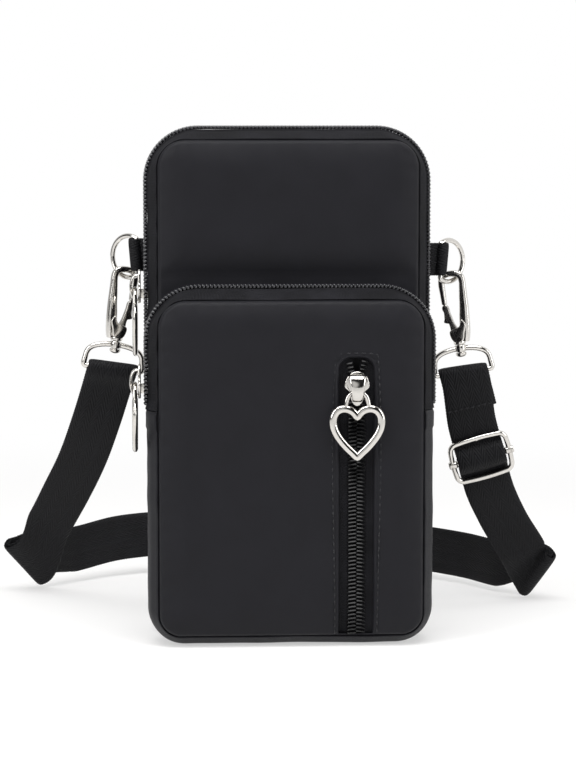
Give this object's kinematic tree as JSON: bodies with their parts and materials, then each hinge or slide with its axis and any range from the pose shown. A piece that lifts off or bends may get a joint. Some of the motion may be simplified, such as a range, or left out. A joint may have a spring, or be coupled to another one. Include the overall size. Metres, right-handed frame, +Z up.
{
  "type": "crossbody bag",
  "caption": "Small upright black nylon crossbody bag with zipped compartments, heart pulls and a detachable webbing strap on swivel snap hooks, standing with its strap folded behind.",
  "frame": {"origin": "middle of the main compartment's flat base, on the surface the bag stands on", "axes": "+Z up, +X to the bag's right as seen from the front, +Y from the front pocket to the back"},
  "size_m": [0.22, 0.1655, 0.1888],
  "materials": {
    "nylon": "smooth coated twill with a soft sheen",
    "zip_tape": "woven tape",
    "zip_coil": "glossy moulded coil",
    "webbing": "ribbed herringbone webbing",
    "lining": "thin plain lining",
    "hardware": "bright nickel plating"
  },
  "bodies": {
    "bag": {"main_gusset": "nylon", "front_gusset": "nylon", "rear_panel": "nylon", "main_front_panel": "nylon", "front_panel": "nylon", "main_zip_tape_front": "zip_tape", "main_zip_tape_rear": "zip_tape", "main_zip_coil_front": "zip_coil", "main_zip_coil_rear": "zip_coil", "front_zip_tape_front": "zip_tape", "front_zip_tape_rear": "zip_tape", "front_zip_coil_front": "zip_coil", "front_zip_coil_rear": "zip_coil", "slot_zip_tape_left": "zip_tape", "slot_zip_tape_right": "zip_tape", "slot_zip_coil_left": "zip_coil", "slot_zip_coil_right": "zip_coil", "slot_pocket_bag": "lining", "main_lining": "lining", "front_lining": "lining", "left_tab": "webbing", "right_tab": "webbing"},
    "left_ring": {"left_d_ring": "hardware"},
    "right_ring": {"right_d_ring": "hardware"},
    "strap": {"strap_webbing": "webbing", "left_swivel_eye": "hardware", "right_swivel_eye": "hardware", "adjuster_frame": "hardware", "adjuster_bar": "hardware"},
    "left_snap": {"left_hook": "hardware", "left_gate_pin": "hardware"},
    "right_snap": {"right_hook": "hardware", "right_gate_pin": "hardware"},
    "left_latch": {"left_gate": "hardware"},
    "right_latch": {"right_gate": "hardware"},
    "main_runner": {"main_slider": "hardware"},
    "front_runner": {"front_slider": "hardware"},
    "slot_runner": {"slot_slider": "hardware"},
    "main_heart": {"main_pull": "hardware"},
    "front_heart": {"front_pull": "hardware"},
    "slot_heart": {"slot_pull": "hardware"}
  },
  "joints": [
    {"name": "main_zip_slide", "type": "slide", "parent": "bag", "child": "main_runner", "axis": [0, 0, 1], "range_m": [-0.034, 0.028]},
    {"name": "front_zip_slide", "type": "slide", "parent": "bag", "child": "front_runner", "axis": [0, 0, 1], "range_m": [-0.0015, 0.006]},
    {"name": "slot_zip_slide", "type": "slide", "parent": "bag", "child": "slot_runner", "axis": [0, 0, -1], "range_m": [0, 0.07]},
    {"name": "main_pull_swing", "type": "hinge", "parent": "main_runner", "child": "main_heart", "pos_m": [-0.0562, 0, 0.1278], "axis": [0, 1, 0], "range_deg": [0, 120]},
    {"name": "front_pull_swing", "type": "hinge", "parent": "front_runner", "child": "front_heart", "pos_m": [-0.0562, -0.0218, 0.0948], "axis": [0, 1, 0], "range_deg": [0, 120]},
    {"name": "slot_pull_swing", "type": "hinge", "parent": "slot_runner", "child": "slot_heart", "pos_m": [0.0232, -0.03835, 0.0932], "axis": [-1, 0, 0], "range_deg": [0, 120]},
    {"name": "left_ring_turn", "type": "hinge", "parent": "bag", "child": "left_ring", "pos_m": [-0.0555, 0.013, 0.1392], "axis": [0, 0, 1], "range_deg": [-6, 2]},
    {"name": "right_ring_turn", "type": "hinge", "parent": "bag", "child": "right_ring", "pos_m": [0.0584, 0.013, 0.1372], "axis": [0, 0, 1], "range_deg": [-1, 6]},
    {"name": "strap_swing", "type": "hinge", "parent": "bag", "child": "strap", "pos_m": [0.00145, 0.01627, 0.1304], "axis": [0.9999, 0, -0.0162], "range_deg": [0, 50]},
    {"name": "left_swivel", "type": "hinge", "parent": "strap", "child": "left_snap", "pos_m": [-0.06017, 0.01627, 0.1314], "axis": [0.1392, 0, 0.9903], "range_deg": [-5, 25]},
    {"name": "right_swivel", "type": "hinge", "parent": "strap", "child": "right_snap", "pos_m": [0.06307, 0.01627, 0.1294], "axis": [0.1392, 0, -0.9903], "range_deg": [-5, 25]},
    {"name": "left_gate_turn", "type": "hinge", "parent": "left_snap", "child": "left_latch", "pos_m": [-0.06197, 0.01661, 0.11186], "axis": [0.3416, -0.9386, -0.048], "range_deg": [0, 18], "stiffness_Nm_per_rad": 0.004, "springref_deg": -11.46},
    {"name": "right_gate_turn", "type": "hinge", "parent": "right_snap", "child": "right_latch", "pos_m": [0.06487, 0.01661, 0.10986], "axis": [0.3416, 0.9386, 0.048], "range_deg": [0, 18], "stiffness_Nm_per_rad": 0.004, "springref_deg": -11.46}
  ]
}
